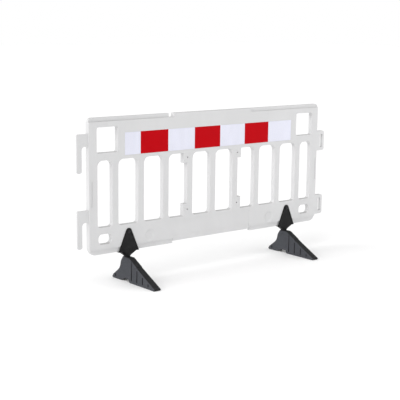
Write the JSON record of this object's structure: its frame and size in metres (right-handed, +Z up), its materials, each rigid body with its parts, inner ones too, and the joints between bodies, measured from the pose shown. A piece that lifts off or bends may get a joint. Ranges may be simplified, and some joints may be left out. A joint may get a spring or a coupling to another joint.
{
  "type": "pedestrian barrier",
  "caption": "Moulded plastic pedestrian barrier with upright slots, reflective band, end hooks and eyes, and swivelling anti-trip feet.",
  "frame": {"origin": "centre of the whole object's footprint, on the ground", "axes": "+X along the barrier towards the end with the eyes, -Y towards the front with the reflective band, +Z up"},
  "size_m": [2.009, 0.434, 1],
  "materials": {
    "white_hdpe": "matt moulded HDPE, lightly grained",
    "film_white": "retroreflective film",
    "film_red": "retroreflective film",
    "black_plastic": "matt moulded plastic",
    "foot_rubber": "recycled rubber, matt and slightly dusty",
    "zinc_steel": "zinc plated",
    "black_steel": "black zinc plated"
  },
  "bodies": {
    "barrier": {"barrier_panel": "white_hdpe", "film_white_1": "film_white", "film_red_1": "film_red", "film_white_2": "film_white", "film_red_2": "film_red", "film_white_3": "film_white", "film_red_3": "film_red", "film_white_4": "film_white", "left_foot_saddle": "black_plastic", "right_foot_saddle": "black_plastic", "saddle_bolts": "black_steel", "saddle_washers": "black_steel", "saddle_nuts": "black_steel", "swivel_bolts": "zinc_steel", "swivel_washers": "zinc_steel", "swivel_nuts": "zinc_steel"},
    "left_foot": {"left_foot_base": "foot_rubber", "left_swivel_bush": "zinc_steel"},
    "right_foot": {"right_foot_base": "foot_rubber", "right_swivel_bush": "zinc_steel"}
  },
  "joints": [
    {"name": "left_foot_swivel", "type": "hinge", "parent": "barrier", "child": "left_foot", "pos_m": [-0.6465, 0.093, 0.1225], "axis": [0, 0, 1], "continuous": true},
    {"name": "right_foot_swivel", "type": "hinge", "parent": "barrier", "child": "right_foot", "pos_m": [0.6585, 0.093, 0.1225], "axis": [0, 0, 1], "continuous": true}
  ]
}
